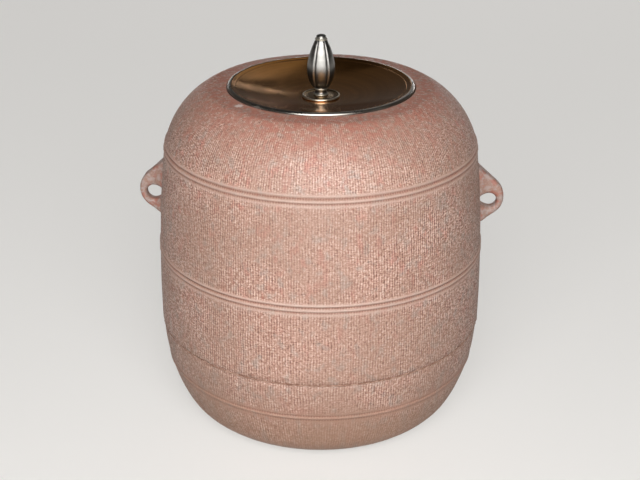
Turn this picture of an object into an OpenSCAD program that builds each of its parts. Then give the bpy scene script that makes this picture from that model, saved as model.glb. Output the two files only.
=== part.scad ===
// Chagama: a cast iron tea kettle with a let-in bottom, two ring lugs and a bronze lid.
// Millimetres, +Z up. The origin is the centre of the flat base, and the lugs stand on +X and -X.

/* [Barrel casting] */
// Height of the iron lip of the mouth above the base
body_h = 193.2; // [170:0.2:220]
// Largest radius of the barrel
belly_r = 92.6; // [80:0.2:105]
// Height at which the barrel is widest
belly_z = 68; // [50:1:90]
// Radius of the barrel's slight bulge, seen from the side
bulge_r = 760; // [500:10:1500]
// Radius of the shoulder's turn, seen from the side
shoulder_r = 44; // [36:0.5:54]
// Wall thickness of the iron castings
wall = 3.5; // [2.6:0.1:5]
// Radius of the raised threads that run round the body
thread_r = 0.9; // [0.5:0.05:1.4]
// How far a thread's centre lies under the surface
thread_sink = 0.3; // [0:0.05:0.4]
// Distance between the two threads of a pair
thread_pitch = 2.8; // [2.2:0.1:4.5]
// Height of the lip above the pair of threads at the shoulder
upper_ring_drop = 31.6; // [29:0.2:38]
// Height of the pair of threads at the belly
belly_ring_z = 103; // [90:0.2:110]

/* [Mouth] */
// Inner radius of the mouth, above the ledge
mouth_r = 51.8; // [44:0.2:60]
// Width of the flatter band round the mouth
band_w = 10.2; // [5:0.2:14]
// Rise of that band towards the lip
band_rise = 0.8; // [0.3:0.1:2]
// Width of the level top of the lip
lip_w = 1.5; // [0.8:0.1:3]
// Depth of the ledge under the lip
ledge_drop = 3.2; // [2:0.1:5]
// Width of the ledge that the lid rests on
ledge_w = 4.9; // [3:0.1:7]
// Thickness of the ledge
ledge_t = 3.5; // [2:0.1:5]

/* [Bottom pan] */
// Height of the seam, where the barrel's edge ends
seam_z = 57.5; // [48:0.5:68]
// How far the barrel's edge overhangs the pan
seam_step = 0.8; // [0.7:0.1:1.5]
// Radius of the flat base
base_r = 59.5; // [52:0.5:72]
// Radius of the turn between base and side
base_turn_r = 25; // [16:0.5:26]
// Height of the single thread on the pan
pan_ring_z = 35; // [28:0.5:45]
// Height of the pan's spigot inside the barrel
lap_h = 8; // [5:0.5:12]
// Thickness of the barrel's edge outside the spigot
lap_edge = 1.8; // [1.6:0.1:2.2]
// Thickness of the putty in the joint
lute_t = 0.5; // [0.3:0.05:0.8]
// Radius of the bead of putty left outside the joint
lute_bead_r = 0.7; // [0.5:0.05:1]

/* [Lugs] */
// Height of the lip above the lug's hole
lug_drop = 65; // [55:0.2:75]
// Radius of the lug's hole
lug_hole_r = 4.2; // [3:0.1:5.5]
// Iron left between the hole and the barrel
lug_web = 0.8; // [0.5:0.1:2]
// Iron left outside the hole
lug_rim = 3.9; // [2.5:0.1:6]
// Thickness of the lug
lug_t = 6.5; // [5:0.1:10]
// Radius of the lug's round outer edge
lug_round_r = 12.4; // [11:0.1:14]
// Height of that round edge's centre above the hole
lug_lift = 1.8; // [0:0.2:4]
// Height of the lug's upper end above the hole
lug_up = 22; // [20:0.5:28]
// Depth of the lug's lower end below the hole
lug_down = 14; // [13:0.5:18]
// Width of the root that is cast into the wall
root_w = 4; // [3:0.1:5]
// Height of the root that is cast into the wall
root_h = 14; // [8:0.5:16]

/* [Lid] */
// Gap between the lid's edge and the mouth
lid_gap = 0.5; // [0.3:0.05:1]
// Height of the lid's rim above the ledge
lid_rim_h = 4.4; // [3.4:0.1:6]
// Width of the rim that stands on the ledge
lid_foot_w = 4; // [2.5:0.1:5]
// Width of the rim's top, from the edge to the scooped face
lid_top_w = 2.2; // [1.8:0.1:3.2]
// Radius of the lid's rounded edge
lid_edge_r = 1.5; // [0.8:0.1:1.7]
// Thickness of the lid's plate
lid_t = 2.2; // [1.5:0.1:3.5]
// Depth of the knob's seat under the lid's rim
scoop_drop = 7.6; // [6:0.1:10]
// Flat left round the knob's seat
scoop_flat_w = 0.5; // [0.2:0.1:2]
// Thickness of the lid under the seat
hub_t = 2.7; // [2.4:0.1:4]

/* [Knob] */
// Radius of the stem
stem_r = 2; // [1.5:0.1:2.4]
// Radial clearance of the stem in the lid, so that the knob turns
stem_clear = 0.06; // [0.03:0.01:0.1]
// Play of the knob along the stem
stem_play = 0.1; // [0.05:0.05:0.3]
// Radius of the seat washer
seat_r = 10.4; // [9:0.1:13]
// Thickness of the seat washer
seat_t = 0.9; // [0.6:0.1:1.1]
// Radius of the bead round the seat washer
seat_bead_r = 0.6; // [0.55:0.05:0.9]
// Radius of the collar's lower ring
collar_r = 4.1; // [3.6:0.1:5]
// Radius of the collar's upper ring
collar_top_r = 3.8; // [3.4:0.1:4.5]
// Radius of the collar's waist
waist_r = 3.1; // [2.7:0.1:3.3]
// Height of the collar
collar_h = 4.1; // [3:0.1:6]
// Radius of the beads on the collar
collar_bead_r = 0.4; // [0.3:0.05:0.6]
// Largest radius of the bud
bud_r = 8; // [7:0.1:10]
// Radius of the bud's ends
bud_end_r = 3.5; // [3.2:0.1:4]
// Height of the bud
bud_h = 26.6; // [20:0.2:32]
// Number of lobes
lobes = 6; // [5:1:7]
// Width of the grooves between the lobes
groove_w = 1; // [0.5:0.1:2]
// Depth of the grooves between the lobes
groove_depth = 0.8; // [0.4:0.1:1]
// Length left plain at each end of the bud, where the grooves have run out
groove_stop = 1.2; // [0.5:0.1:4]
// Radius of the ring under the button
cap_r = 3.4; // [3:0.1:4]
// Radius of the bead of that ring
cap_bead_r = 0.6; // [0.4:0.05:0.8]
// Radius of the button
button_r = 2.8; // [2.5:0.1:3]
// Height of the button
button_h = 1.2; // [0.8:0.1:2]
// Length of the stem inside the button
stem_in_cap = 1; // [0.5:0.1:1.2]
// Radius of the washer under the lid
washer_r = 6.5; // [5:0.1:9]
// Thickness of the washer under the lid
washer_t = 0.8; // [0.5:0.1:1.5]
// Radius of the stem's peened head
rivet_r = 3.6; // [3:0.1:4.5]
// Height of the stem's peened head
rivet_h = 1.6; // [1:0.1:2.2]

/* [Singing plates] */
// Length of a singing plate
plate_l = 16; // [10:0.5:22]
// Width of a singing plate
plate_w = 10; // [6:0.5:14]
// Thickness of a singing plate
plate_t = 1.5; // [1:0.1:2.5]
// Distance of the plates' centres from the axis
plate_ring_r = 34; // [24:1:42]
// Length of the lacquer dab under a plate's inner end
dab_l = 6; // [4:0.5:8]
// Width of the lacquer dab
dab_w = 8; // [4:0.5:10]
// Thickness of the lacquer dab
dab_t = 0.7; // [0.3:0.1:1.2]

/* [Hidden] */
$fn = 128;
// Sides of the barrel's very large circles
bulge_fn = 1440;
plate_count = 4;
// Overlap that makes a cut or a join clean
eps = 1;

// Barrel: the bulge's arc and the shoulder's arc meet smoothly, and the band starts at band_foot
bulge_c = [belly_r - bulge_r, belly_z];
band_foot = [mouth_r + band_w, body_h - band_rise];
to_band = band_foot - bulge_c;
band_dir = to_band / norm(to_band);
arc_gap = bulge_r - shoulder_r;
along = (arc_gap ^ 2 - shoulder_r ^ 2 + norm(to_band) ^ 2) / (2 * norm(to_band));
aside = sqrt(arc_gap ^ 2 - along ^ 2);
shoulder_c = bulge_c + along * band_dir + aside * [band_dir[1], -band_dir[0]];
turn_dir = (shoulder_c - bulge_c) / norm(shoulder_c - bulge_c);
turn_out = bulge_c + bulge_r * turn_dir;
turn_in = bulge_c + (bulge_r - wall) * turn_dir;
upper_ring_z = body_h - upper_ring_drop;
ledge_z = body_h - ledge_drop;
ledge_r = mouth_r - ledge_w;
mouth_floor = ledge_z - ledge_t;

// Radius of the barrel's outer face at height z
function bulge_at(z) = bulge_c[0] + sqrt(bulge_r ^ 2 - (z - belly_z) ^ 2);
function shoulder_at(z) = shoulder_c[0] + sqrt(shoulder_r ^ 2 - (z - shoulder_c[1]) ^ 2);
function barrel_at(z) = z < turn_out[1] ? bulge_at(z) : shoulder_at(z);

// Pan: a large arc down from the seam meets a small arc that runs into the flat base
pan_r = bulge_at(seam_z) - seam_step;
pan_top = seam_z - lute_t;
lap_r = bulge_at(seam_z) - lap_edge;
spigot_r = lap_r - lute_t;
spigot_in = pan_r - wall;
pan_run = pan_r - base_r;
base_turn = min(base_turn_r, 0.85 * pan_run);
pan_arc = (pan_run ^ 2 + pan_top ^ 2 - 2 * pan_top * base_turn) / (2 * (pan_run - base_turn));
pan_c = [pan_r - pan_arc, pan_top];
turn_c = [base_r, base_turn];
pan_dir = (turn_c - pan_c) / norm(turn_c - pan_c);
function pan_meet(inset) = pan_c + (pan_arc - inset) * pan_dir;
function pan_at(z) = pan_c[0] + sqrt(pan_arc ^ 2 - (z - pan_c[1]) ^ 2);

// Lug: a round edge with a straight flank up and a straight flank down to the barrel
lug_hole_z = body_h - lug_drop;
lug_hole_x = barrel_at(lug_hole_z) + lug_web + lug_hole_r;
lug_tip_x = lug_hole_x + lug_hole_r + lug_rim;
lug_c = [lug_tip_x - lug_round_r, lug_hole_z + lug_lift];
lug_top = [barrel_at(lug_hole_z + lug_up) - eps, lug_hole_z + lug_up];
lug_foot = [barrel_at(lug_hole_z - lug_down) - eps, lug_hole_z - lug_down];
root_low = lug_hole_z - root_h / 2;
root_x = (barrel_at(root_low + root_h) + barrel_at(root_low) - wall) / 2;
function tangent(from, side) =
    let (v = from - lug_c, a = atan2(v[1], v[0]) + side * acos(lug_round_r / norm(v)))
    lug_c + lug_round_r * [cos(a), sin(a)];

// Lid: the scooped face is part of a sphere through the rim and the flat round the seat
lid_r = mouth_r - lid_gap;
lid_top = ledge_z + lid_rim_h;
lid_in_r = lid_r - lid_foot_w;
scoop_r = lid_r - lid_top_w;
hub_r = seat_r + scoop_flat_w;
seat_z = lid_top - scoop_drop;
scoop_cz = ((scoop_r ^ 2 - hub_r ^ 2) / scoop_drop + seat_z + lid_top) / 2;
scoop_sphere = norm([hub_r, scoop_cz - seat_z]);
stem_hole_r = stem_r + stem_clear;

// Knob: stacked on the seat, with a little play
collar_z = seat_z + seat_t + stem_play;
bud_z = collar_z + collar_h;
cap_z = bud_z + bud_h;
button_z = cap_z + 2 * cap_bead_r;
washer_z = seat_z - hub_t - washer_t;
rivet_z = washer_z - stem_play;
bud_sag = bud_r - bud_end_r;
bud_arc = ((bud_h / 2) ^ 2 + bud_sag ^ 2) / (2 * bud_sag);
groove_run = bud_h / 2 - groove_stop;
groove_sag = bud_arc - sqrt(bud_arc ^ 2 - groove_run ^ 2) - groove_depth;
groove_arc = (groove_run ^ 2 + groove_sag ^ 2) / (2 * groove_sag);

iron = [0.52, 0.42, 0.37];
lug_iron = [0.55, 0.47, 0.45];
putty = [0.3, 0.24, 0.2];
bronze = [0.42, 0.31, 0.18];
silver_grey = [0.6, 0.6, 0.58];

// Rectangle between two corners
module box2(low, high) {
    translate(low) square(high - low);
}

// Cap of a circle with a base of radius r, of height h, standing on the level z
module dome2(r, h, z) {
    big = (r ^ 2 + h ^ 2) / (2 * h);
    intersection() {
        translate([0, z + h - big]) circle(r = big);
        box2([0, z], [r + eps, z + h + eps]);
    }
}

// The barrel's full outline, as if it were solid
module barrel_outline() {
    intersection() {
        translate(bulge_c) circle(r = bulge_r, $fn = bulge_fn);
        box2([0, seam_z], [belly_r + eps, turn_out[1]]);
    }
    intersection() {
        translate(shoulder_c) circle(r = shoulder_r);
        box2([band_foot[0], turn_out[1] - eps], [belly_r + eps, body_h]);
    }
    polygon([[0, turn_out[1] - eps], [band_foot[0] + eps, turn_out[1] - eps], band_foot,
        [mouth_r + lip_w, body_h], [0, body_h]]);
    for (z = [upper_ring_z, belly_ring_z], half = [-0.5, 0.5]) {
        level = z + half * thread_pitch;
        translate([barrel_at(level) - thread_sink, level]) circle(r = thread_r);
    }
}

// The space inside the barrel: room, ledge opening, mouth and the lap for the pan
module barrel_space() {
    intersection() {
        translate(bulge_c) circle(r = bulge_r - wall, $fn = bulge_fn);
        box2([0, seam_z - eps], [belly_r, turn_in[1]]);
    }
    intersection() {
        translate(shoulder_c) circle(r = shoulder_r - wall);
        box2([shoulder_c[0], turn_in[1] - eps], [belly_r, mouth_floor]);
    }
    box2([0, turn_in[1] - eps], [shoulder_c[0] + eps, mouth_floor]);
    box2([0, mouth_floor - eps], [ledge_r, ledge_z + eps]);
    box2([0, ledge_z], [mouth_r, body_h + eps]);
    box2([0, seam_z - eps], [lap_r, seam_z + lap_h]);
}

// The root of a lug, and the pocket that it leaves in the wall
module lug_root() {
    translate([root_x, -root_w / 2, root_low]) cube([lug_hole_x - root_x, root_w, root_h]);
}

module barrel() {
    color(iron) difference() {
        rotate_extrude() difference() {
            barrel_outline();
            barrel_space();
        }
        lug_root();
        mirror([1, 0, 0]) lug_root();
    }
}

// The pan's face, moved in by an inset, filled to the axis
module pan_outline(inset, top) {
    meet = pan_meet(inset);
    intersection() {
        translate(pan_c) circle(r = pan_arc - inset);
        box2([0, meet[1]], [belly_r, top]);
    }
    intersection() {
        translate(turn_c) circle(r = base_turn - inset);
        box2([base_r - eps, 0], [belly_r, meet[1] + eps]);
    }
    box2([0, inset], [base_r, top]);
}

module bottom_pan() {
    color(iron) rotate_extrude() difference() {
        union() {
            pan_outline(0, pan_top);
            box2([spigot_in - eps, pan_top - eps], [spigot_r, seam_z + lap_h - lute_t]);
            translate([pan_at(pan_ring_z) - thread_sink, pan_ring_z]) circle(r = thread_r);
        }
        pan_outline(wall, pan_top);
        box2([0, pan_top - eps], [spigot_in, seam_z + lap_h]);
    }
}

module seam_lute() {
    color(putty) rotate_extrude() {
        box2([spigot_r, pan_top], [lap_r, seam_z + lap_h]);
        box2([spigot_in, seam_z + lap_h - lute_t], [lap_r, seam_z + lap_h]);
        box2([spigot_r, pan_top], [pan_r, seam_z]);
        difference() {
            translate([pan_r, pan_top + lute_t / 2]) circle(r = lute_bead_r);
            box2([0, 0], [pan_r - eps / 2, body_h]);
            box2([0, seam_z], [belly_r, body_h]);
            pan_outline(0, pan_top);
        }
    }
}

module lug() {
    color(lug_iron) difference() {
        union() {
            difference() {
                rotate([90, 0, 0]) linear_extrude(lug_t, center = true) {
                    translate(lug_c) circle(r = lug_round_r);
                    polygon([lug_top, tangent(lug_top, -1), tangent(lug_foot, 1), lug_foot]);
                }
                rotate_extrude() barrel_outline();
            }
            lug_root();
        }
        translate([lug_hole_x, 0, lug_hole_z]) rotate([90, 0, 0])
            cylinder(r = lug_hole_r, h = lug_t + 2 * eps, center = true);
    }
}

module right_lug() {
    lug();
}

module left_lug() {
    mirror([1, 0, 0]) lug();
}

// Place of singing plate number i, on the floor of the pan
module at_plate(i) {
    rotate([0, 0, (i - 0.5) * 360 / plate_count]) translate([plate_ring_r, 0, wall]) children();
}

module singing_plate(i) {
    color(iron) at_plate(i) translate([-plate_l / 2, -plate_w / 2, dab_t])
        cube([plate_l, plate_w, plate_t]);
}

module lacquer_dab(i) {
    color(putty) at_plate(i) translate([-plate_l / 2, -dab_w / 2, 0]) cube([dab_l, dab_w, dab_t]);
}

module lid_plate() {
    color(bronze) rotate_extrude() difference() {
        union() {
            intersection() {
                translate([0, scoop_cz]) circle(r = scoop_sphere + lid_t);
                box2([0, 0], [lid_r - lid_edge_r, lid_top]);
            }
            box2([lid_in_r, ledge_z], [lid_r - lid_edge_r, lid_top]);
            box2([lid_in_r, ledge_z], [lid_r, lid_top - lid_edge_r]);
            translate([lid_r - lid_edge_r, lid_top - lid_edge_r]) circle(r = lid_edge_r);
        }
        difference() {
            translate([0, scoop_cz]) circle(r = scoop_sphere);
            box2([0, 0], [hub_r, seat_z]);
        }
        box2([0, 0], [stem_hole_r, lid_top]);
        box2([0, 0], [hub_r, seat_z - hub_t]);
    }
}

module knob_seat() {
    color(bronze) rotate_extrude() {
        box2([stem_hole_r, seat_z], [seat_r - seat_bead_r, seat_z + seat_t]);
        translate([seat_r - seat_bead_r, seat_z + seat_bead_r]) circle(r = seat_bead_r);
    }
}

module under_washer() {
    color(bronze) rotate_extrude() box2([stem_hole_r, washer_z], [washer_r, washer_z + washer_t]);
}

module knob_stem() {
    color(silver_grey) rotate_extrude() {
        box2([0, rivet_z], [stem_r, cap_z + stem_in_cap]);
        translate([0, rivet_z]) mirror([0, 1]) dome2(rivet_r, rivet_h, 0);
    }
}

module knob_collar() {
    color(silver_grey) rotate_extrude() {
        box2([stem_r, collar_z], [waist_r, bud_z]);
        for (ring = [[collar_r, collar_z + collar_bead_r], [collar_top_r, bud_z - collar_bead_r]]) {
            bead_c = [ring[0] - collar_bead_r, ring[1]];
            box2([stem_r, ring[1] - collar_bead_r], bead_c + [0, collar_bead_r]);
            translate(bead_c) circle(r = collar_bead_r);
        }
    }
}

// A groove between two lobes: a narrow slot whose straighter floor runs out near the bud's ends
module bud_groove() {
    rotate([90, 0, 0]) linear_extrude(groove_w, center = true) difference() {
        box2([bud_end_r, bud_z], [bud_r + eps, cap_z]);
        translate([bud_r - groove_depth - groove_arc, bud_z + bud_h / 2]) circle(r = groove_arc);
    }
}

module knob_bud() {
    color(silver_grey) difference() {
        rotate_extrude() intersection() {
            translate([bud_r - bud_arc, bud_z + bud_h / 2]) circle(r = bud_arc);
            box2([stem_r, bud_z], [bud_r + eps, cap_z]);
        }
        for (i = [0:lobes - 1]) rotate([0, 0, i * 360 / lobes]) bud_groove();
    }
}

module knob_cap() {
    color(silver_grey) rotate_extrude() difference() {
        union() {
            box2([0, cap_z], [cap_r - cap_bead_r, button_z]);
            translate([cap_r - cap_bead_r, cap_z + cap_bead_r]) circle(r = cap_bead_r);
            dome2(button_r, button_h, button_z);
        }
        box2([0, cap_z - eps], [stem_r, cap_z + stem_in_cap]);
    }
}

barrel();
bottom_pan();
seam_lute();
left_lug();
right_lug();
singing_plate(1);  // singing_plate_1
singing_plate(2);  // singing_plate_2
singing_plate(3);  // singing_plate_3
singing_plate(4);  // singing_plate_4
lacquer_dab(1);  // lacquer_dab_1
lacquer_dab(2);  // lacquer_dab_2
lacquer_dab(3);  // lacquer_dab_3
lacquer_dab(4);  // lacquer_dab_4
lid_plate();
knob_seat();
under_washer();
knob_stem();
knob_collar();
knob_bud();
knob_cap();
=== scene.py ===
import math

import bpy
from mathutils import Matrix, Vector, noise


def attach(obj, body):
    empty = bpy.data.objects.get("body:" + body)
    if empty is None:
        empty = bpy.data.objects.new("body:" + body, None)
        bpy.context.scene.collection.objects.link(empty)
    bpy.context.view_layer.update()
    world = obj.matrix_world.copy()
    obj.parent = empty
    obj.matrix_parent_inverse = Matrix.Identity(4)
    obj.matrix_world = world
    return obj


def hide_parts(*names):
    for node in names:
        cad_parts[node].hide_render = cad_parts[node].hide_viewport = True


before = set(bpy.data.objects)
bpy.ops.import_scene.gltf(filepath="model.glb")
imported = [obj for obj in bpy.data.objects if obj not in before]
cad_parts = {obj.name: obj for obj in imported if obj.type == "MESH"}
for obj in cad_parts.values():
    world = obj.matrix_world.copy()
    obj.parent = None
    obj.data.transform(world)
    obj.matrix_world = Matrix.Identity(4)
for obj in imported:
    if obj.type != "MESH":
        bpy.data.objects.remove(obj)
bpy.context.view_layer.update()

# Barrel: the upper casting of the kettle, poured in iron in a clay mould that was scored with
# fine upright lines. It has a round shoulder, two pairs of raised threads, and a mouth with a
# ledge for the lid. The lower edge laps over the bottom pan.
mm = 0.001
belly_r, belly_z, bulge_r = 92.6 * mm, 68 * mm, 760 * mm
shoulder_r = 44 * mm
wall = 3.5 * mm
lip_z, seam_z = 193.2 * mm, 57.5 * mm
mouth_r, lip_w, lip_round = 51.8 * mm, 1.5 * mm, 0.5 * mm
ledge_r, ledge_z, ledge_under = 46.9 * mm, 190 * mm, 186.5 * mm
band_foot = (62 * mm, 192.4 * mm)
lap_r, lap_top = 90.7275 * mm, 65.5 * mm
upper_ring_z, belly_ring_z = 161.6 * mm, 103 * mm
thread_pitch, thread_rise, thread_w = 2.8 * mm, 0.55 * mm, 0.72 * mm
crevice_drop, crevice_depth, crevice_w, stain_w = 1.35 * mm, 0.36 * mm, 0.6 * mm, 0.7 * mm
ring_zone, row_gap, fine_gap = 5 * mm, 3.4 * mm, 0.5 * mm
plain_drop, plain_in, plain_out = 0.9 * mm, 2.8 * mm, 3.7 * mm
mouth_red_in, mouth_red_out, mouth_red_z = 58 * mm, 86 * mm, 170 * mm
lines_in, lines_out = 52 * mm, 56 * mm
skin_in, skin_out, skin_depth = 54 * mm, 62 * mm, 1.3 * mm
foot_wave, foot_wave_top = 0.3 * mm, 4 * mm
barrel_steps = 672

bulge_c = (belly_r - bulge_r, belly_z)
to_band = Vector((band_foot[0] - bulge_c[0], band_foot[1] - bulge_c[1]))
arc_gap = bulge_r - shoulder_r
along = (arc_gap ** 2 - shoulder_r ** 2 + to_band.length ** 2) / (2 * to_band.length)
aside = math.sqrt(arc_gap ** 2 - along ** 2)
band_dir = to_band.normalized()
shoulder_c = (bulge_c[0] + along * band_dir.x + aside * band_dir.y,
              bulge_c[1] + along * band_dir.y - aside * band_dir.x)
turn_angle = math.atan2(shoulder_c[1] - bulge_c[1], shoulder_c[0] - bulge_c[0])
turn_z = bulge_c[1] + bulge_r * math.sin(turn_angle)
band_angle = math.atan2(band_foot[1] - shoulder_c[1], band_foot[0] - shoulder_c[0])


def arc(centre, radius, start, end, count):
    """Points (radius, height) along part of a circle."""
    turns = [start + (end - start) * i / count for i in range(count + 1)]
    return [(centre[0] + radius * math.cos(a), centre[1] + radius * math.sin(a)) for a in turns]


def barrel_face(z, out=0.0):
    """Point of the barrel's outer face at height z, moved out along the face's normal."""
    centre, radius = (bulge_c, bulge_r) if z < turn_z else (shoulder_c, shoulder_r)
    lift = (z - centre[1]) / radius
    face = math.sqrt(1 - lift ** 2)
    return centre[0] + (radius + out) * face, centre[1] + (radius + out) * lift


def bump_at(distance, width):
    """A smooth bump of height 1."""
    return math.exp(-(distance / width) ** 2)


def pair_relief(z, centre):
    """Relief of a pair of raised threads, the rust in the crevices under them, and how far the
    crests beside the crevices are painted pale, as rubbed wear and as a painted highlight."""
    crest = crevice = stain = 0.0
    for side in (-0.5, 0.5):
        d = z - centre - side * thread_pitch
        crest += bump_at(d, thread_w)
        crevice += bump_at(d + crevice_drop, crevice_w)
        stain += bump_at(d + crevice_drop, stain_w)
    pale = crest + 0.7 * bump_at(z - centre + thread_pitch / 2 + 2 * crevice_drop, thread_w)
    return thread_rise * crest - crevice_depth * crevice, stain, pale


def rows(low, high, coarse, fine, rings):
    """Heights from low to high, closer together near the rings."""
    heights, z = [], low
    while z < high:
        heights.append(z)
        near = any(-ring_zone - coarse < z - ring < ring_zone for ring in rings)
        z += fine if near else coarse
    return heights


def ease(value, low, high):
    """0 below low, 1 above high, and a smooth step between."""
    t = min(max((value - low) / (high - low), 0.0), 1.0)
    return t * t * (3 - 2 * t)


def close_up():
    """Merges the doubled vertices of the active piece and turns its faces outward."""
    bpy.ops.object.mode_set(mode="EDIT")
    bpy.ops.mesh.select_all(action="SELECT")
    bpy.ops.mesh.remove_doubles(threshold=1e-6)
    bpy.ops.mesh.normals_make_consistent(inside=False)
    bpy.ops.object.mode_set(mode="OBJECT")


slices = 24


def spun(name, section, steps):
    """Draws a half-section as a chain of points, spins one slice of a round piece from it, and
    fills the circle with copies of the slice."""
    bpy.ops.object.select_all(action="DESELECT")
    bpy.ops.mesh.primitive_circle_add(vertices=3, radius=wall)
    piece = bpy.context.object
    piece.name = piece.data.name = name
    bpy.ops.object.mode_set(mode="EDIT")
    bpy.ops.mesh.merge(type="CENTER")
    bpy.ops.transform.translate(value=(section[0][0], 0, section[0][1]))
    for (r0, z0), (r1, z1) in zip(section, section[1:]):
        bpy.ops.mesh.extrude_region_move(TRANSFORM_OT_translate={"value": (r1 - r0, 0, z1 - z0)})
    bpy.ops.mesh.select_all(action="SELECT")
    slice_angle = 2 * math.pi / slices
    bpy.ops.mesh.spin(steps=steps // slices, angle=slice_angle, center=(0, 0, 0), axis=(0, 0, 1))
    for copies in (2, 2, 2, 3):
        bpy.ops.mesh.select_all(action="SELECT")
        for _ in range(copies - 1):
            bpy.ops.mesh.duplicate()
            bpy.ops.transform.rotate(value=slice_angle, orient_axis="Z", center_override=(0, 0, 0))
        slice_angle *= copies
    close_up()
    return piece


def smooth(piece, degrees):
    """Shades a piece smooth, with edges sharper than the angle left sharp."""
    bpy.ops.object.select_all(action="DESELECT")
    piece.select_set(True)
    bpy.context.view_layer.objects.active = piece
    bpy.ops.object.shade_smooth_by_angle(angle=math.radians(degrees))


def keep_values(piece, name, values):
    """Stores one number per vertex for the material to read."""
    piece.data.attributes.new(name, "FLOAT", "POINT").data.foreach_set("value", values)


def front_glare(theta):
    """How far the skin's lines and crevice stains are faded by painted glare from the front light:
    most at the front, nothing at the sides.
    """
    return bump_at(math.remainder(theta + math.pi / 2, 2 * math.pi), math.radians(42))


def round_axis(point):
    """Radius, height and angle of a point."""
    return math.hypot(point.x, point.y), point.z, math.atan2(point.y, point.x)


def push_out(v, theta, out):
    """Moves a vertex, which lies at angle theta, away from the axis."""
    v.co.x += out * math.cos(theta)
    v.co.y += out * math.sin(theta)


def noise_round(theta, fineness, level):
    """Noise that changes along a circle and meets itself after a full turn."""
    return noise.noise(Vector((math.cos(theta) * fineness, math.sin(theta) * fineness, level)))


def cast_unevenness(p, theta, run):
    """How far the skin of a casting stands out at point p; run is the way along the lines."""
    broad = noise.noise(p * 18) * 0.22
    mid = noise.noise(p * 85 + Vector((7, 3, 1))) * 0.10
    streak = noise_round(theta, 46, run * 55) * 0.10
    return (broad + mid + streak) * mm


barrel_rings = (upper_ring_z, belly_ring_z)
rows_top = turn_z + 8 * mm


def nearest_ring(z):
    """Height of the pair of threads that lies nearest to height z."""
    return min(barrel_rings, key=lambda ring: abs(z - ring))


outer = [barrel_face(seam_z + lip_round, -0.25 * mm)]
for z in rows(seam_z + 2 * lip_round, rows_top, row_gap, fine_gap, barrel_rings):
    outer.append(barrel_face(z, pair_relief(z, nearest_ring(z))[0]))
shoulder_start = math.asin((rows_top - shoulder_c[1]) / shoulder_r)
outer += arc(shoulder_c, shoulder_r, shoulder_start + 0.02, band_angle, 16)
lip_edge = mouth_r + lip_w
for i in range(1, 5):
    t = i / 5
    outer.append((band_foot[0] + (lip_edge - band_foot[0]) * t,
                  band_foot[1] + (lip_z - lip_round / 3 - band_foot[1]) * t))
lip = [(lip_edge + 0.2 * mm, lip_z - 0.06 * mm), (lip_edge - 0.3 * mm, lip_z)]
lip += arc((mouth_r + lip_round, lip_z - lip_round), lip_round, math.pi / 2, math.pi, 4)
ledge = [(mouth_r, ledge_z + 0.6 * mm), (mouth_r, ledge_z), (ledge_r + 0.4 * mm, ledge_z),
         (ledge_r, ledge_z - 0.4 * mm), (ledge_r, ledge_under)]
inner_r = shoulder_r - wall
inner_top = math.asin((ledge_under - shoulder_c[1]) / inner_r)
inside = arc(shoulder_c, inner_r, inner_top, turn_angle, 9)
inside += arc(bulge_c, bulge_r - wall, turn_angle,
              math.asin((lap_top - belly_z) / (bulge_r - wall)), 8)[1:]
foot = [(lap_r, lap_top), (lap_r, seam_z + lip_round), (lap_r + 0.3 * mm, seam_z),
        (barrel_face(seam_z)[0] - 0.6 * mm, seam_z)]
barrel = spun("barrel_shell", outer + lip + ledge + inside + foot + outer[:1], barrel_steps)

line_amount, crevice_amount, crest_amount, mouth_amount = [], [], [], []
for v in barrel.data.vertices:
    r, z, theta = round_axis(v.co)
    on_wall = z <= turn_z and r > barrel_face(z)[0] - skin_depth
    from_turn = math.hypot(r - shoulder_c[0], z - shoulder_c[1])
    on_band = r > mouth_r + 0.2 * mm and z > band_foot[1]
    on_shoulder = z > turn_z and (from_turn > shoulder_r - skin_depth or on_band)
    lines = crevice = crest = mouth = 0.0
    if on_wall or on_shoulder:
        ring = nearest_ring(z)
        crevice, crest = (min(amount, 1.0) for amount in pair_relief(z, ring)[1:])
        lines = ease(abs(z - ring + plain_drop), plain_in, plain_out) * ease(r, lines_in, lines_out)
        # Painted glare: the lines and the crevice stain are faded towards the front.
        lines *= 1 - 0.5 * front_glare(theta)
        crevice *= 1 - 0.3 * front_glare(theta)
        if z > mouth_red_z:
            ragged_r = r + 4 * mm * noise.noise(v.co * 120)
            mouth = 1 - ease(ragged_r, mouth_red_in, mouth_red_out)
        out = cast_unevenness(v.co.copy(), theta, z - r) * ease(r, skin_in, skin_out)
        flat = min(max((z - shoulder_c[1]) / shoulder_r, 0.0), 1.0) if z > turn_z else 0.0
        push_out(v, theta, out * math.sqrt(1 - flat ** 2))
        v.co.z += out * flat
    low = 1 - ease(z, seam_z + 0.2 * mm, seam_z + foot_wave_top)
    v.co.z += noise_round(theta, 9, 4.2) * foot_wave * low
    line_amount.append(lines)
    crevice_amount.append(crevice)
    crest_amount.append(crest)
    mouth_amount.append(mouth)
keep_values(barrel, "lines", line_amount)
keep_values(barrel, "crevice", crevice_amount)
keep_values(barrel, "crest", crest_amount)
keep_values(barrel, "mouth", mouth_amount)
smooth(barrel, 45)


def place(tree, kind, inputs, **settings):
    """Adds a node with its settings; inputs maps sockets to values or to other nodes' outputs."""
    node = tree.nodes.new(kind)
    for key, value in settings.items():
        setattr(node, key, value)
    for key, value in inputs.items():
        if isinstance(value, bpy.types.NodeSocket):
            tree.links.new(value, node.inputs[key])
        else:
            node.inputs[key].default_value = value
    return node


def calc(tree, operation, *values):
    """Output of a Math node."""
    return place(tree, "ShaderNodeMath", dict(enumerate(values)), operation=operation).outputs[0]


def blend(tree, factor, low, high):
    """Colour that goes from low to high with the factor."""
    low = low if isinstance(low, bpy.types.NodeSocket) else (*low, 1)
    high = high if isinstance(high, bpy.types.NodeSocket) else (*high, 1)
    node = place(tree, "ShaderNodeMix", {0: factor, 6: low, 7: high}, data_type="RGBA")
    return node.outputs[2]


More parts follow.
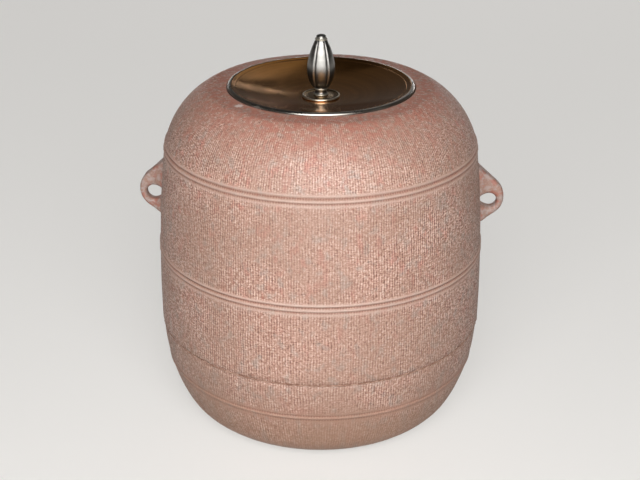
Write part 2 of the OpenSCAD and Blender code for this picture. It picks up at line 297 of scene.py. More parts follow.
def spread(tree, value, low, high, new_low=0.0, new_high=1.0):
    """Value mapped smoothly from one range to another."""
    node = place(tree, "ShaderNodeMapRange", {0: value, 1: low, 2: high, 3: new_low, 4: new_high},
                 interpolation_type="SMOOTHSTEP")
    return node.outputs[0]


def cloud(tree, vector, scale, detail=2.0):
    """Value of a Noise Texture."""
    inputs = {"Vector": vector, "Scale": scale, "Detail": detail}
    return place(tree, "ShaderNodeTexNoise", inputs).outputs[0]


def own_place(tree):
    """The point in the piece's own coordinates, in metres."""
    return place(tree, "ShaderNodeTexCoord", {}).outputs["Object"]


def new_group(name, inputs, outputs):
    """A node group with named sockets; gives its tree, its input sockets and its output node."""
    tree = bpy.data.node_groups.new(name, "ShaderNodeTree")
    for title in inputs:
        tree.interface.new_socket(title, in_out="INPUT", socket_type="NodeSocketFloat")
    for title, kind in outputs:
        tree.interface.new_socket(title, in_out="OUTPUT", socket_type=kind)
    return tree, tree.nodes.new("NodeGroupInput").outputs, tree.nodes.new("NodeGroupOutput")


def round_place(tree):
    """Point in millimetres, its radius, its angle round the axis and its height."""
    point = place(tree, "ShaderNodeVectorMath", {0: own_place(tree), 3: 1000.0},
                  operation="SCALE").outputs[0]
    x, y, z = place(tree, "ShaderNodeSeparateXYZ", {0: point}).outputs
    square = calc(tree, "MULTIPLY_ADD", x, x, calc(tree, "MULTIPLY", y, y))
    return point, calc(tree, "SQRT", square), calc(tree, "ARCTAN2", y, x), z


# Rusted iron: fine scored lines along the meridians, crossed by short grains, with a pink-brown
# rust that is paler on the crests and darker red in the hollows
iron, iron_in, iron_out = new_group(
    "rusted_iron", ("Lines", "Crevice", "Red", "Brown"),
    (("Color", "NodeSocketColor"), ("Roughness", "NodeSocketFloat"), ("Height", "NodeSocketFloat")))
line_count = 390
point, radius, angle, height = round_place(iron)
wander = calc(iron, "MULTIPLY", calc(iron, "SUBTRACT", cloud(iron, point, 0.07), 0.5), 0.022)
turned = calc(iron, "ADD", angle, wander)
scored = calc(iron, "SINE", calc(iron, "MULTIPLY", turned, float(line_count)))
broken = spread(iron, cloud(iron, point, 0.2, 3.0), 0.35, 0.62, 0.4, 1.0)


def along_lines(width, length, shift, detail=2.0):
    """Noise, around 0, of grains that are longer along the scored lines."""
    vector = place(iron, "ShaderNodeCombineXYZ", {
        0: calc(iron, "MULTIPLY", calc(iron, "COSINE", turned), 90.0 / width),
        1: calc(iron, "MULTIPLY", calc(iron, "SINE", turned), 90.0 / width),
        2: calc(iron, "MULTIPLY_ADD", calc(iron, "SUBTRACT", height, radius), 1.0 / length, shift)})
    return calc(iron, "SUBTRACT", cloud(iron, vector.outputs[0], 1.0, detail), 0.5)


grains = along_lines(0.8, 1.4, 0.0)
breaks = along_lines(1.7, 0.8, 41.0)
grit = calc(iron, "SUBTRACT", cloud(iron, point, 1.4, 2.0), 0.5)
lined = calc(iron, "MULTIPLY_ADD", grains, 1.1,
             calc(iron, "MULTIPLY", calc(iron, "MULTIPLY", scored, broken), 0.34))
lined = calc(iron, "MULTIPLY_ADD", breaks, 1.8, lined)
tone = calc(iron, "MULTIPLY_ADD", lined, iron_in["Lines"],
            calc(iron, "MULTIPLY_ADD", grit, 0.7, 0.5))
skin = place(iron, "ShaderNodeValToRGB", {0: tone})
stops = skin.color_ramp.elements
stops[0].position, stops[0].color = 0.1, (0.15, 0.06, 0.042, 1)
stops[1].position, stops[1].color = 0.9, (0.82, 0.64, 0.555, 1)
for at, colour in ((0.37, (0.39, 0.203, 0.147, 1)), (0.63, (0.575, 0.36, 0.282, 1))):
    stops.new(at).color = colour
drift = cloud(iron, point, 0.028, 3.0)
red_patch = spread(iron, along_lines(4.0, 8.0, 9.0), 0.03, 0.22)
grey_patch = spread(iron, along_lines(5.0, 7.0, 31.0), 0.02, 0.2)
fleck = spread(iron, along_lines(1.5, 2.6, 57.0), 0.13, 0.28)
greyed = blend(iron, tone, (0.15, 0.105, 0.085), (0.66, 0.53, 0.46))
colour = blend(iron, calc(iron, "MULTIPLY", grey_patch, 0.65), skin.outputs[0], greyed)
reddish = blend(iron, tone, (0.22, 0.055, 0.035), (0.74, 0.37, 0.285))
colour = blend(iron, calc(iron, "MULTIPLY", red_patch, iron_in["Red"]), colour, reddish)
colour = blend(iron, calc(iron, "MULTIPLY", fleck, iron_in["Red"]), colour, (0.33, 0.10, 0.06))
colour = blend(iron, calc(iron, "MULTIPLY", spread(iron, drift, 0.35, 0.65), iron_in["Brown"]),
               colour, (0.35, 0.215, 0.155))
dashes = calc(iron, "MULTIPLY_ADD", scored, 0.35, tone)
hollow = calc(iron, "MULTIPLY", iron_in["Crevice"], spread(iron, dashes, 0.3, 0.85, 1.0, 0.3))
colour = blend(iron, hollow, colour, (0.19, 0.062, 0.03))
iron.links.new(colour, iron_out.inputs["Color"])
iron.links.new(spread(iron, tone, 0.15, 0.85, 0.7, 0.52), iron_out.inputs["Roughness"])
lumps = calc(iron, "MULTIPLY", along_lines(0.85, 1.5, 83.0, 0.0), iron_in["Lines"])
iron.links.new(calc(iron, "MULTIPLY_ADD", tone, 0.25, lumps), iron_out.inputs["Height"])


def new_material(name):
    """A material with a Principled shader; gives the material, its tree and the shader."""
    material = bpy.data.materials.new(name)
    material.use_nodes = True
    return material, material.node_tree, material.node_tree.nodes["Principled BSDF"]


def own_value(tree, name):
    """A number that the piece stores at its vertices."""
    return place(tree, "ShaderNodeAttribute", {}, attribute_name=name).outputs["Fac"]


def rusted(tree, shader, depth, **values):
    """Puts the rusted iron group on a shader, with a bump of the given depth; gives its colour."""
    group = place(tree, "ShaderNodeGroup", {}, node_tree=iron)
    for title, value in values.items():
        if isinstance(value, bpy.types.NodeSocket):
            tree.links.new(value, group.inputs[title])
        else:
            group.inputs[title].default_value = value
    tree.links.new(group.outputs["Roughness"], shader.inputs["Roughness"])
    relief = place(tree, "ShaderNodeBump", {"Height": group.outputs["Height"], "Distance": depth})
    tree.links.new(relief.outputs[0], shader.inputs["Normal"])
    shader.inputs["Specular IOR Level"].default_value = 0.85
    return group.outputs["Color"]


barrel_iron, tree, shader = new_material("barrel_iron")
spot = own_place(tree)
up = place(tree, "ShaderNodeSeparateXYZ", {0: spot}).outputs[2]
colour = rusted(tree, shader, 0.32 * mm, Lines=own_value(tree, "lines"),
                Crevice=own_value(tree, "crevice"),
                Red=spread(tree, up, 70 * mm, 175 * mm, 0.5, 0.95), Brown=0.4)
rim_red = calc(tree, "MULTIPLY", own_value(tree, "mouth"),
               spread(tree, cloud(tree, spot, 380.0, 3.0), 0.40, 0.58, 0.0, 0.85))
colour = blend(tree, rim_red, colour, (0.45, 0.16, 0.11))
# Thread crests painted paler: rubbed wear and a painted highlight.
crest_wear_and_highlight = calc(tree, "MULTIPLY", own_value(tree, "crest"), 0.55)
colour = blend(tree, crest_wear_and_highlight, colour, (0.70, 0.525, 0.45))
chip_at = (-41 * mm, -37.8 * mm, lip_z)
from_chip = place(tree, "ShaderNodeVectorMath", {0: spot, 1: chip_at},
                  operation="DISTANCE").outputs["Value"]
ragged = calc(tree, "MULTIPLY_ADD", cloud(tree, spot, 700.0), 3 * mm, from_chip)
colour = blend(tree, spread(tree, ragged, 3 * mm, 4 * mm, 0.9, 0.0), colour, (0.78, 0.66, 0.62))
tree.links.new(colour, shader.inputs["Base Color"])
barrel.data.materials.append(barrel_iron)
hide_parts("barrel")
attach(barrel, "kettle")

# Lugs: two flat iron ears at the sides, each with a round hole for a loose carrying ring. They
# are cast with roots that the barrel's wall holds, and their edges are worn round.
lug_hole, lug_hole_r = (95.212 * mm, 128.2 * mm), 4.2 * mm
lug_hole_in = 89.6 * mm
lug_round_c, lug_round_r = (90.912 * mm, 130 * mm), 12.4 * mm
lug_top_z, lug_foot_z = 150.2 * mm, 114.2 * mm
lug_half, lug_flare, lug_flare_run = 3.25 * mm, 1.6 * mm, 5 * mm
lug_sink, lug_worn = 1.6 * mm, 1.9 * mm
hole_points, lug_rings, ring_growth = 72, 11, 1.15
worn_rows = (0, 0.06, 0.25, 0.55, 1)
last = len(worn_rows) - 1
hole_stretch = (lug_hole[0] - lug_hole_in) / lug_hole_r


def tangent(start, side):
    """Where the straight flank from a point touches the lug's round edge."""
    v = Vector(start) - Vector(lug_round_c)
    a = math.atan2(v.y, v.x) + side * math.acos(lug_round_r / v.length)
    return Vector(lug_round_c) + lug_round_r * Vector((math.cos(a), math.sin(a)))


lug_top = Vector((barrel_face(lug_top_z)[0] - lug_sink, lug_top_z))
lug_foot = Vector((barrel_face(lug_foot_z)[0] - lug_sink, lug_foot_z))
upper_touch, lower_touch = tangent(lug_top, -1), tangent(lug_foot, 1)
low_angle = math.atan2(lower_touch.y - lug_round_c[1], lower_touch.x - lug_round_c[0])
high_angle = math.atan2(upper_touch.y - lug_round_c[1], upper_touch.x - lug_round_c[0])
lug_edge = [lug_foot, lower_touch]
lug_edge += [Vector(p) for p in arc(lug_round_c, lug_round_r, low_angle, high_angle, 24)[1:]]
lug_edge += [lug_top, lug_foot]


def edge_from_hole(a):
    """Where a ray from the hole's centre, at angle a, meets the lug's edge."""
    ray, best = Vector((math.cos(a), math.sin(a))), None
    for p, q in zip(lug_edge, lug_edge[1:]):
        p, d = p - Vector(lug_hole), q - p
        cross = ray.x * d.y - ray.y * d.x
        if abs(cross) > 1e-12:
            t, s = (p.x * d.y - p.y * d.x) / cross, (p.x * ray.y - p.y * ray.x) / cross
            if t > 0 and -1e-9 <= s <= 1 + 1e-9 and (best is None or t < best):
                best = t
    return Vector(lug_hole) + ray * best


lug_iron, tree, shader = new_material("lug_iron")
colour = rusted(tree, shader, 0.5 * mm, Lines=0.0, Crevice=0.0, Red=0.0, Brown=0.0)
spot = own_place(tree)
worn = spread(tree, cloud(tree, spot, 420.0, 3.0), 0.42, 0.60, 0.0, 0.7)
# The lug's skin is painted darker all over, as painted shade.
dark = blend(tree, 0.45, colour, (0.16, 0.09, 0.072))
colour = blend(tree, worn, dark, (0.43, 0.345, 0.315))
reddened = spread(tree, cloud(tree, spot, 260.0, 4.0), 0.50, 0.62, 0.0, 0.8)
tree.links.new(blend(tree, reddened, colour, (0.36, 0.13, 0.09)), shader.inputs["Base Color"])
for side, name in ((1, "right_lug"), (-1, "left_lug")):
    bpy.ops.object.select_all(action="DESELECT")
    bpy.ops.mesh.primitive_circle_add(vertices=hole_points, radius=lug_hole_r,
                                      location=(lug_hole[0], -lug_half, lug_hole[1]),
                                      rotation=(math.pi / 2, 0, 0))
    lug = bpy.context.object
    lug.name = lug.data.name = name + "_ear"
    bpy.ops.object.transform_apply(location=True, rotation=True, scale=True)
    bpy.ops.object.mode_set(mode="EDIT")
    for ring in range(lug_rings):
        bpy.ops.mesh.extrude_region_move(TRANSFORM_OT_translate={"value": (0, 0, 0)})
        bpy.ops.transform.resize(value=(ring_growth, 1, ring_growth),
                                 center_override=(lug_hole[0], 0, lug_hole[1]))
    bpy.ops.mesh.select_all(action="SELECT")
    bpy.ops.mesh.extrude_region_move(TRANSFORM_OT_translate={"value": (0, lug_half, 0)})
    bpy.ops.mesh.extrude_region_move(TRANSFORM_OT_translate={"value": (0, lug_half, 0)})
    bpy.ops.object.mode_set(mode="OBJECT")
    for v in lug.data.vertices:
        offset = Vector((v.co.x - lug_hole[0], v.co.z - lug_hole[1]))
        ring = round(math.log(offset.length / lug_hole_r) / math.log(ring_growth))
        a = math.atan2(offset.y, offset.x)
        start = Vector(lug_hole) + lug_hole_r * Vector((math.cos(a), math.sin(a)))
        if offset.x < 0:
            start.x = lug_hole[0] + (start.x - lug_hole[0]) * hole_stretch
        end = edge_from_hole(a)
        width = (end - start).length
        reach = min(lug_worn, 0.45 * width)
        if ring <= last:
            from_hole = worn_rows[ring] * reach
        elif ring >= lug_rings - last:
            from_hole = width - worn_rows[lug_rings - ring] * reach
        else:
            from_hole = reach + (width - 2 * reach) * (ring - last) / (lug_rings - 2 * last)
        v.co.x, v.co.z = start.lerp(end, from_hole / width)
        inward = min(from_hole, width - from_hole, reach) / reach
        drop = lug_worn * (1 - math.sqrt(1 - (1 - inward) ** 2))
        v.co.y *= 1 - drop / lug_half
    close_up()
    for v in lug.data.vertices:
        beyond = v.co.x - barrel_face(v.co.z)[0]
        v.co.y *= 1 + lug_flare / lug_half * (1 - ease(beyond, 0, lug_flare_run))
        pits = noise.noise(v.co * 220) * 0.18 * mm
        dents = noise.noise(v.co * 90 + Vector((side * 5, 0, 0))) * 0.25 * mm
        v.co += v.normal * (pits + dents)
        if side < 0:
            v.co.x *= -1
    close_up()
    smooth(lug, 50)
    lug.data.materials.append(lug_iron)
    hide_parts(name)
    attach(lug, "kettle")

# Bottom pan: the lower casting, let in under the barrel's edge with a spigot. It is iron too,
# browner than the barrel, with one faint thread and a flat base.
pan_r, pan_top = 91.7275 * mm, 57 * mm
base_r, base_turn = 59.5 * mm, 25 * mm
spigot_out, spigot_in, spigot_top = 90.2275 * mm, 88.2275 * mm, 65 * mm
pan_ring_z, pan_ring_rise, pan_ring_w = 35 * mm, 0.45 * mm, 0.8 * mm
pan_crevice_gap, pan_crevice_depth, pan_row_gap = 1.4 * mm, 0.14 * mm, 3.2 * mm
pan_lined, pan_lined_low, pan_lined_high = 0.9, 4 * mm, 16 * mm
pan_plain_in, pan_plain_out = 2 * mm, 5 * mm
pan_stained, pan_skin_top = 0.75, 8 * mm
pan_run = pan_r - base_r
pan_arc = (pan_run ** 2 + pan_top ** 2 - 2 * pan_top * base_turn) / (2 * (pan_run - base_turn))
pan_c = (pan_r - pan_arc, pan_top)
meet_angle = math.atan2(base_turn - pan_c[1], base_r - pan_c[0])
meet_z = pan_c[1] + pan_arc * math.sin(meet_angle)


def pan_face(z, out=0.0):
    """Point of the pan's outer face at height z, moved out along the face's normal."""
    lift = (z - pan_c[1]) / pan_arc
    return pan_c[0] + (pan_arc + out) * math.sqrt(1 - lift ** 2), pan_c[1] + (pan_arc + out) * lift


def pan_relief(z):
    """Relief of the pan's thread, and how deep beside it the point lies."""
    d = z - pan_ring_z
    crevice = bump_at(d - pan_crevice_gap, crevice_w) + bump_at(d + pan_crevice_gap, crevice_w)
    return pan_ring_rise * bump_at(d, pan_ring_w) - pan_crevice_depth * crevice, crevice


base = [(base_r * i / 6, 0.0) for i in range(6)]
base += arc((base_r, base_turn), base_turn, -math.pi / 2, meet_angle, 12)
side_rows = rows(meet_z + 2 * mm, pan_top - 1 * mm, pan_row_gap, fine_gap, (pan_ring_z,))
outside = [pan_face(z, pan_relief(z)[0]) for z in side_rows]
top = [(pan_r, pan_top - 0.6 * mm), (pan_r - 0.5 * mm, pan_top), (spigot_out, pan_top),
       (spigot_out, spigot_top), (spigot_in, spigot_top)]
inside = arc(pan_c, pan_arc - wall, 0, meet_angle, 8)
inside += arc((base_r, base_turn), base_turn - wall, meet_angle, -math.pi / 2, 7)[1:]
inside += [(base_r * (1 - i / 5), wall) for i in range(1, 6)]
pan = spun("bottom_pan_shell", base + outside + top + inside, barrel_steps)
line_amount, crevice_amount = [], []
for v in pan.data.vertices:
    r, z, theta = round_axis(v.co)
    lines = crevice = 0.0
    corner_r = base_r + math.sqrt(max(base_turn ** 2 - (z - base_turn) ** 2, 0))
    face_r = pan_face(z)[0] if z > meet_z else corner_r
    if r > face_r - 1 * mm and z < pan_top:
        crevice = pan_stained * min(pan_relief(z)[1], 1.0)
        lines = pan_lined * ease(z, pan_lined_low, pan_lined_high)
        lines *= ease(abs(z - pan_ring_z), pan_plain_in, pan_plain_out)
        # Painted glare: the lines are faded towards the front.
        lines *= 1 - 0.4 * front_glare(theta)
        out = cast_unevenness(v.co.copy(), theta, z - r) * ease(z, 0, pan_skin_top)
        push_out(v, theta, out)
    line_amount.append(lines)
    crevice_amount.append(crevice)
keep_values(pan, "lines", line_amount)
keep_values(pan, "crevice", crevice_amount)
smooth(pan, 45)
pan_iron, tree, shader = new_material("pan_iron")
colour = rusted(tree, shader, 0.6 * mm, Lines=own_value(tree, "lines"),
                Crevice=own_value(tree, "crevice"), Red=0.35, Brown=0.5)
up = place(tree, "ShaderNodeSeparateXYZ", {0: own_place(tree)}).outputs[2]
# Browner towards the base, and darker there as painted shade.
brown_with_painted_shade_low = spread(tree, up, 48 * mm, 14 * mm, 0.0, 0.5)
tree.links.new(blend(tree, brown_with_painted_shade_low, colour, (0.40, 0.22, 0.135)), shader.inputs["Base Color"])
pan.data.materials.append(pan_iron)
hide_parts("bottom_pan")
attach(pan, "kettle")

# Lute: putty of lacquer and iron dust that seals the lap between barrel and pan. It was pressed
# in while soft, and an uneven bead of it shows under the barrel's edge.
lute_bead, lute_wave, lute_steps = 0.7 * mm, 0.4 * mm, 528
bead_c = (pan_r, (pan_top + seam_z) / 2)
lute_section = [(spigot_in, lap_top), (lap_r, lap_top), (lap_r, seam_z), (pan_r, seam_z)]
lute_section += arc(bead_c, lute_bead, math.radians(20), math.radians(-60), 6)
lute_section += [(pan_r, pan_top), (spigot_out, pan_top), (spigot_out, spigot_top),
                 (spigot_in, spigot_top), (spigot_in, lap_top)]
lute = spun("seam_lute_bead", lute_section, lute_steps)
for v in lute.data.vertices:
    r, _, theta = round_axis(v.co)
    if r > pan_r + 0.1 * mm:
        push_out(v, theta, noise_round(theta, 40, 1.7) * lute_wave)
smooth(lute, 60)
putty, tree, shader = new_material("putty")
lump = cloud(tree, own_place(tree), 500.0, 3.0)
tree.links.new(blend(tree, spread(tree, lump, 0.35, 0.65), (0.30, 0.16, 0.11), (0.52, 0.34, 0.26)),
               shader.inputs["Base Color"])
tree.links.new(spread(tree, lump, 0.3, 0.7, 0.9, 0.7), shader.inputs["Roughness"])
relief = place(tree, "ShaderNodeBump", {"Height": lump, "Distance": 0.2 * mm})
tree.links.new(relief.outputs[0], shader.inputs["Normal"])
lute.data.materials.append(putty)
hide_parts("seam_lute")
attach(lute, "kettle")


def finish_node(name, material):
    """Gives a solid of the frame its finish."""
    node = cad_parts[name]
    if not node.material_slots:
        node.data.materials.append(material)
    for slot in node.material_slots:
        slot.material = material


# Singing plates: four small iron plates on the floor of the pan, each held at its inner end by
# a dab of lacquer, so that the free end hums in boiling water.
plate_iron, tree, shader = new_material("plate_iron")
colour = rusted(tree, shader, 0.2 * mm, Lines=0.0, Crevice=0.0, Red=0.8, Brown=0.3)
tree.links.new(blend(tree, 0.6, colour, (0.12, 0.085, 0.07)), shader.inputs["Base Color"])
lacquer, tree, shader = new_material("lacquer")
smear = cloud(tree, own_place(tree), 300.0, 2.0)
tree.links.new(blend(tree, smear, (0.012, 0.008, 0.006), (0.05, 0.03, 0.02)),
               shader.inputs["Base Color"])
tree.links.new(spread(tree, smear, 0.3, 0.7, 0.18, 0.4), shader.inputs["Roughness"])
for i in range(1, 5):
    finish_node("singing_plate_%d" % i, plate_iron)
    finish_node("lacquer_dab_%d" % i, lacquer)

# Lid plate: cast bronze, turned and polished, with a scooped top and a rounded rim that stands
# on the mouth's ledge. A fine line is turned just inside the rim.
lid_r, lid_top, lid_foot_z = 51.3 * mm, 194.4 * mm, 190 * mm
lid_in_r, lid_edge_r = 47.3 * mm, 1.5 * mm
scoop_r, lid_t = 49.1 * mm, 2.2 * mm
hub_r, seat_z, hub_under, stem_hole_r = 10.9 * mm, 186.8 * mm, 184.1 * mm, 2.06 * mm
lid_line_r, lid_line_depth, lid_line_w = 47 * mm, 0.14 * mm, 0.25 * mm
rim_rows, rim_gap, scoop_rows, under_rows = 18, 0.2 * mm, 26, 12
lid_steps = 288
scoop_c = ((scoop_r ** 2 - hub_r ** 2) / (lid_top - seat_z) + seat_z + lid_top) / 2
scoop_sphere = math.hypot(hub_r, scoop_c - seat_z)


def scoop_at(r, deeper=0.0):
    """Height at radius r of the scooped face, or of the underside that lies deeper."""
    return scoop_c - math.sqrt((scoop_sphere + deeper) ** 2 - r ** 2)


lid_section = [(lid_in_r, lid_foot_z), (lid_r - 0.4 * mm, lid_foot_z),
               (lid_r, lid_foot_z + 0.4 * mm)]
lid_section += arc((lid_r - lid_edge_r, lid_top - lid_edge_r), lid_edge_r, 0, math.pi / 2, 10)
lid_section.append((scoop_r + 0.3 * mm, lid_top - 0.02 * mm))
lid_section += [(r, scoop_at(r) - lid_line_depth * bump_at(r - lid_line_r, lid_line_w))
                for r in [scoop_r - (i + 0.5) * rim_gap for i in range(rim_rows)]]
scoop_in = scoop_r - (rim_rows + 0.5) * rim_gap
lid_section += [(r, scoop_at(r)) for r in [scoop_in + (hub_r - scoop_in) * i / scoop_rows
                                           for i in range(1, scoop_rows + 1)]]
lid_section += [(hub_r * 0.6, seat_z), (stem_hole_r, seat_z), (stem_hole_r, hub_under),
                (hub_r, hub_under)]
lid_section += [(r, scoop_at(r, lid_t)) for r in [hub_r + (lid_in_r - hub_r) * i / under_rows
                                                  for i in range(under_rows + 1)]]
lid_section.append(lid_section[0])
lid = spun("lid_scooped", lid_section, lid_steps)
smooth(lid, 38)

# Turned metal: fine circles left by the turning tool, and a film of handling marks
marks, marks_in, marks_out = new_group(
    "turned_marks", ("Pitch", "Film"),
    (("Height", "NodeSocketFloat"), ("Film", "NodeSocketFloat"), ("Ring", "NodeSocketFloat")))
point, radius, angle, height = round_place(marks)
ring_vector = place(marks, "ShaderNodeCombineXYZ", {
    0: calc(marks, "DIVIDE", radius, marks_in["Pitch"]),
    1: calc(marks, "DIVIDE", height, marks_in["Pitch"]),
    2: calc(marks, "MULTIPLY", angle, 0.6)}).outputs[0]
marks.links.new(cloud(marks, ring_vector, 1.0, 2.0), marks_out.inputs["Height"])
wide_vector = place(marks, "ShaderNodeCombineXYZ", {
    0: calc(marks, "MULTIPLY", radius, 0.35),
    1: calc(marks, "MULTIPLY", height, 0.35)}).outputs[0]
marks.links.new(cloud(marks, wide_vector, 1.0, 3.0), marks_out.inputs["Ring"])
smudge = spread(marks, cloud(marks, point, 0.07, 4.0), 0.35, 0.7)
marks.links.new(calc(marks, "MULTIPLY", smudge, marks_in["Film"]), marks_out.inputs["Film"])


def polished(name, dark, pale, worn, rough, film, pitch, depth):
    """A polished, turned metal in two close colours, with a third on the piece's worn edges."""
    material, tree, shader = new_material(name)
    group = place(tree, "ShaderNodeGroup", {}, node_tree=marks)
    group.inputs["Pitch"].default_value = pitch
    group.inputs["Film"].default_value = film
    colour = blend(tree, spread(tree, group.outputs["Ring"], 0.3, 0.7), dark, pale)
    edge = own_value(tree, "worn")
    tree.links.new(blend(tree, edge, colour, worn), shader.inputs["Base Color"])
    dull = calc(tree, "MULTIPLY_ADD", edge, 0.14, rough)
    tree.links.new(calc(tree, "ADD", group.outputs["Film"], dull), shader.inputs["Roughness"])
    relief = place(tree, "ShaderNodeBump", {"Height": group.outputs["Height"], "Distance": depth})
    tree.links.new(relief.outputs[0], shader.inputs["Normal"])
    shader.inputs["Metallic"].default_value = 1.0
    return material


def wear_by_radius(piece, low, high):
    """Marks a turned piece as worn outside radius low, and fully outside radius high."""
    keep_values(piece, "worn", [ease(math.hypot(v.co.x, v.co.y), low, high)
                                for v in piece.data.vertices])


wear_by_radius(lid, scoop_r, scoop_r + 0.8 * mm)
lid_bronze = polished("lid_bronze", (0.40, 0.175, 0.038), (0.50, 0.225, 0.055), (0.40, 0.37, 0.33),
                      0.1, 0.1, 1.4, 0.02 * mm)
lid.data.materials.append(lid_bronze)
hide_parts("lid_plate")
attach(lid, "lid")

# Knob seat: a thin bronze washer pressed into a dish, with a raised bright edge. The washer
# under the lid is the one that the stem is peened over, and it stays as the frame has it.
seat_r, seat_t, seat_bead, seat_steps = 10.4 * mm, 0.9 * mm, 0.6 * mm, 144
seat_section = [(stem_hole_r, seat_z), (seat_r - seat_bead, seat_z)]
seat_section += arc((seat_r - seat_bead, seat_z + seat_bead), seat_bead,
                    -math.pi / 2, math.radians(150), 14)
seat_section += [(seat_r - 2.2 * mm, seat_z + 0.55 * mm), (seat_r - 4 * mm, seat_z + 0.6 * mm),
                 (4.6 * mm, seat_z + seat_t), (stem_hole_r, seat_z + seat_t), (stem_hole_r, seat_z)]
seat = spun("knob_seat_dish", seat_section, seat_steps)
smooth(seat, 40)
wear_by_radius(seat, seat_r - 1 * mm, seat_r - 0.7 * mm)
seat_bronze = polished("seat_bronze", (0.30, 0.19, 0.09), (0.38, 0.26, 0.14), (0.72, 0.66, 0.54),
                       0.2, 0.08, 0.3, 0.003 * mm)
seat.data.materials.append(seat_bronze)
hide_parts("knob_seat")
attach(seat, "lid")
finish_node("under_washer", seat_bronze)

# Knob collar: a turned neck of silver-grey metal with a rounded ring above and below its waist.
# The stem is a rivet of the same metal that runs down the middle, and stays as the frame has it.
collar_z, bud_z = 187.8 * mm, 191.9 * mm
stem_r, waist_r = 2 * mm, 3.1 * mm
collar_r, collar_top_r, collar_bead = 4.1 * mm, 3.8 * mm, 0.45 * mm
waist_h, waist_flare = bud_z - collar_z - 4 * collar_bead, 0.5 * mm
neck_steps = 96


def bead(r, z, size):
    """Half-round edge of a ring that begins at height z and reaches out to radius r."""
    return arc((r - size, z + size), size, -math.pi / 2, math.pi / 2, 10)


collar_section = [(stem_r, collar_z), (collar_r - collar_bead, collar_z)]
collar_section += bead(collar_r, collar_z, collar_bead)
collar_section += [(waist_r + waist_flare * abs(2 * t - 1) ** 3,
                    collar_z + 2 * collar_bead + waist_h * t) for t in [i / 10 for i in range(11)]]
collar_section += bead(collar_top_r, bud_z - 2 * collar_bead, collar_bead)
collar_section += [(stem_r, bud_z), (stem_r, collar_z)]
collar = spun("knob_collar_neck", collar_section, neck_steps)
smooth(collar, 40)
wear_by_radius(collar, waist_r + 0.1 * mm, waist_r + waist_flare)
knob_metal = polished("knob_metal", (0.19, 0.184, 0.172), (0.245, 0.237, 0.223), (0.56, 0.53, 0.45),
                      0.3, 0.05, 0.25, 0.002 * mm)
collar.data.materials.append(knob_metal)
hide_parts("knob_collar")
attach(collar, "knob")
finish_node("knob_stem", knob_metal)

# Knob bud: cast in the same metal as a closed bud of six flat petals, then polished. The narrow
# grooves between the petals run out at both ends.
bud_r, bud_low_r, bud_high_r, bud_h = 7.6 * mm, 3.8 * mm, 3.3 * mm, 26.6 * mm
bud_bias, bud_full = 0.72, 1.8
petals, bud_turn, bud_rows, bud_steps = 6, math.radians(3.5), 48, 288
petal_c, petal_r, petal_end, petal_run = -0.45, 1.45, 0.3, 5 * mm
groove_depth, groove_w = 0.11, math.radians(4.5)


def bud_at(t):
    """Radius of the bud from its foot, t = 0, to its tip, t = 1."""
    end_r = bud_low_r + (bud_high_r - bud_low_r) * t
    return end_r + (bud_r - end_r) * (1 - abs(2 * t ** bud_bias - 1) ** bud_full)


bud_section = [(stem_r, bud_z), (bud_low_r * 0.8, bud_z)]
bud_section += [(bud_at(i / bud_rows), bud_z + bud_h * i / bud_rows) for i in range(bud_rows + 1)]
bud_section += [(bud_high_r * 0.8, bud_z + bud_h), (stem_r, bud_z + bud_h), (stem_r, bud_z)]
bud = spun("knob_bud_petals", bud_section, bud_steps)
for v in bud.data.vertices:
    r, z, theta = round_axis(v.co)
    if r > stem_r + 0.2 * mm:
        step = 2 * math.pi / petals
        off = (theta - bud_turn + math.pi / 2 + step / 2) % step - step / 2
        petal = petal_c * math.cos(off) + math.sqrt(petal_r ** 2 - (petal_c * math.sin(off)) ** 2)
        petal -= groove_depth * bump_at(step / 2 - abs(off), groove_w)
        from_end = min(z - bud_z, bud_z + bud_h - z)
        scale = 1 + (petal - 1) * (petal_end + (1 - petal_end) * ease(from_end, 0, petal_run))
        v.co.x *= scale
        v.co.y *= scale
smooth(bud, 28)
bud.data.materials.append(knob_metal)
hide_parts("knob_bud")
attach(bud, "knob")

# Knob cap: a small turned button with a bright ring under it, riveted on the end of the stem.
cap_z = bud_z + bud_h
cap_r, cap_bead = 3.4 * mm, 0.6 * mm
button_r, button_h, button_round, button_taper = 2.8 * mm, 1.5 * mm, 0.6 * mm, 0.2 * mm
stem_end = cap_z + 1 * mm
button_low = cap_z + 2 * cap_bead
cap_section = [(stem_r, cap_z), (cap_r - cap_bead, cap_z)]
cap_section += bead(cap_r, cap_z, cap_bead)
cap_section.append((button_r, button_low))
button_c = (button_r - button_taper - button_round, button_low + button_h - button_round)
cap_section += arc(button_c, button_round, math.radians(10), math.pi / 2, 6)
cap_section.append((0, button_low + button_h + 0.1 * mm))
cap_section += [(0, stem_end), (stem_r, stem_end), (stem_r, cap_z)]
cap = spun("knob_cap_button", cap_section, neck_steps)
keep_values(cap, "worn", [1 - ease(v.co.z, button_low - 0.1 * mm, button_low + 0.1 * mm)
                          for v in cap.data.vertices])
smooth(cap, 40)
cap.data.materials.append(knob_metal)
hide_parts("knob_cap")
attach(cap, "knob")

# Floor: a plain pale studio floor that runs out of every view
bpy.ops.object.select_all(action="DESELECT")
bpy.ops.mesh.primitive_plane_add(size=30)
floor = bpy.context.object
floor.name = floor.data.name = "studio_floor"
floor_pale, tree, shader = new_material("floor_pale")
path = place(tree, "ShaderNodeLightPath", {}).outputs
seen = calc(tree, "MAXIMUM", path["Is Camera Ray"], path["Is Glossy Ray"])
seen = calc(tree, "MAXIMUM", seen, path["Is Transmission Ray"])
tree.links.new(blend(tree, seen, (0.09, 0.07, 0.052), (0.46, 0.45, 0.435)),
               shader.inputs["Base Color"])
shader.inputs["Emission Color"].default_value = (0.80, 0.785, 0.76, 1)
tree.links.new(calc(tree, "MULTIPLY", seen, 0.58), shader.inputs["Emission Strength"])
shader.inputs["Roughness"].default_value = 0.9
floor.data.materials.append(floor_pale)

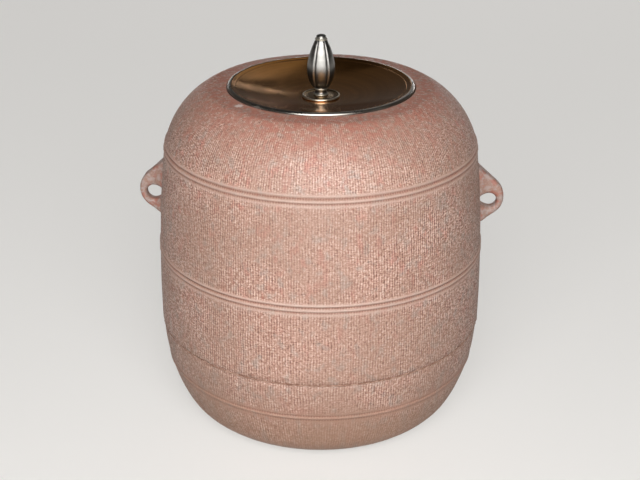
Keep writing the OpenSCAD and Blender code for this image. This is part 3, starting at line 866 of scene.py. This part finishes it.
# Light: a soft sun and a large soft box by the camera, with a wider box behind it. Dim boxes and
# a slanted strip at the back show in the polished lid, a low wide lamp reaches the kettle's
# back, a strip stands on each side, and the sky is even and dim.
world = bpy.data.worlds.new("studio_sky")
bpy.context.scene.world = world
world.use_nodes = True
sky = world.node_tree.nodes["Background"].inputs
sky["Color"].default_value = (0.03, 0.0275, 0.025, 1)
sky["Strength"].default_value = 1.0


def aim(lamp, target):
    """Turns a lamp to face a point."""
    lamp.rotation_euler = (Vector(target) - lamp.location).to_track_quat("-Z", "Y").to_euler()


bpy.ops.object.light_add(type="SUN", location=(0.09, -1.0, 0.82))
key = bpy.context.object
key.name = "key_lamp"
key.data.energy, key.data.angle = 0.8, math.radians(30)
aim(key, (0, 0, 0.1))
for name, at, size, power, roll in (
        ("key_box", (0.035, -0.75, 0.47), (0.8, 0.6), 7.2, 0),
        ("front_box", (-0.05, -1.5, 0.75), (1.0, 0.9), 2.0, 0),
        ("back_box", (0.34, 1.2, 1.0), (0.56, 1.3), 0.7, 0),
        ("back_wall", (0, 1.7, 0.8), (2.4, 1.4), 0.6, 0),
        ("back_strip", (0.09, 1.3, 0.555), (0.29, 0.02), 0.05, 49),
        ("left_strip", (-1.2, -0.25, 0.45), (0.07, 0.6), 0.35, 0),
        ("right_strip", (1.2, -0.3, 0.45), (0.05, 0.6), 0.15, 0),
        ("back_low", (0, 2.6, 0.09), (3, 0.15), 13, 0)):
    bpy.ops.object.light_add(type="AREA", location=at)
    lamp = bpy.context.object
    lamp.name = name
    lamp.data.shape, lamp.data.energy = "RECTANGLE", power
    lamp.data.size, lamp.data.size_y = size
    aim(lamp, (0, 0, 0.15))
    lamp.rotation_euler.rotate_axis("Z", math.radians(roll))

# Camera: in front and a little above, where the photograph was taken from
bpy.ops.object.camera_add(location=(0.0356, -0.658, 0.405),
                          rotation=(math.radians(65.12), math.radians(-0.18), math.radians(3.205)))
camera = bpy.context.object
camera.data.sensor_width, camera.data.lens = 36, 70.5
bpy.context.scene.camera = camera
bpy.context.scene.view_settings.view_transform = "Standard"
